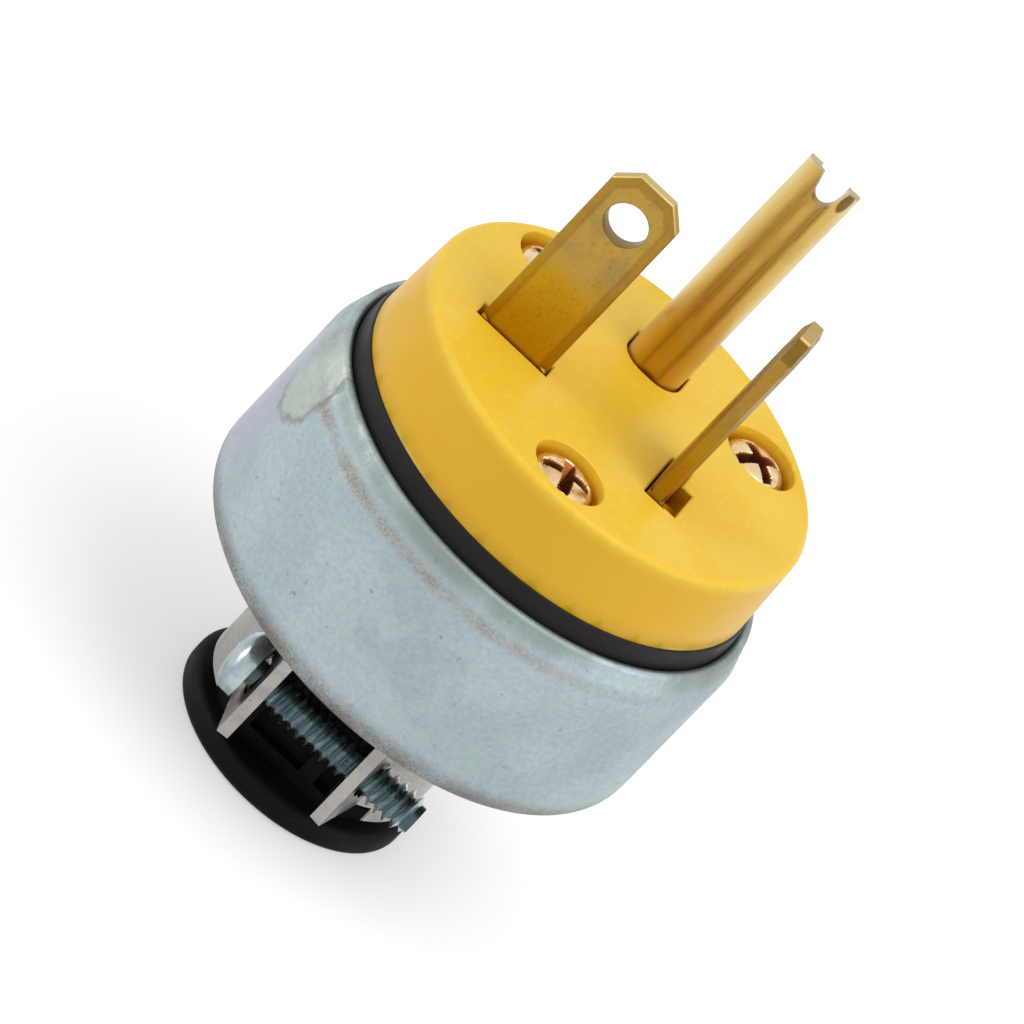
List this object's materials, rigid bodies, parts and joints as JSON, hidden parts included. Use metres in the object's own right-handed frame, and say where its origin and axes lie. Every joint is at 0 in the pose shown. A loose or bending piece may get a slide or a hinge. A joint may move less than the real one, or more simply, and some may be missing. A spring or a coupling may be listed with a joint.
{
  "type": "straight blade plug",
  "caption": "Round power plug with a plated steel shell, a moulded front face, flat blades, a formed ground pin and a rear strap clamp for the cord.",
  "frame": {"origin": "on the plug's axis, at the underside of the rear flange that it stands on", "axes": "+Z along the axis towards the blade tips, +X towards the line blade, +Y towards the ground pin"},
  "size_m": [0.0394, 0.0394, 0.0632],
  "materials": {
    "zinc_shell": "zinc plated drawn steel, scuffed",
    "strap_steel": "plain formed steel sheet",
    "zinc_screw": "zinc plated steel screw",
    "black_rubber": "moulded black vinyl",
    "black_plastic": "moulded black plastic",
    "brown_phenolic": "moulded dark phenolic",
    "yellow_nylon": "moulded yellow nylon, satin",
    "blade_brass": "stamped brass strip",
    "screw_brass": "bright brass plated screw",
    "terminal_brass": "plain brass",
    "nickel_plate": "nickel plated steel",
    "green_screw": "green dyed steel"
  },
  "bodies": {
    "root": {"cord_bushing": "black_rubber", "cord_clamp": "strap_steel", "clamp_screw": "zinc_screw", "steel_shell": "zinc_shell", "insulating_liner": "black_plastic", "terminal_block": "brown_phenolic", "front_face": "yellow_nylon", "line_blade": "blade_brass", "neutral_blade": "blade_brass", "ground_pin": "blade_brass", "line_wire_clamp": "terminal_brass", "neutral_wire_clamp": "nickel_plate", "ground_wire_clamp": "terminal_brass", "line_terminal_screw": "terminal_brass", "neutral_terminal_screw": "nickel_plate", "ground_terminal_screw": "green_screw", "bonding_strip": "terminal_brass", "threaded_inserts": "terminal_brass", "assembly_screws": "screw_brass"}
  },
  "joints": []
}
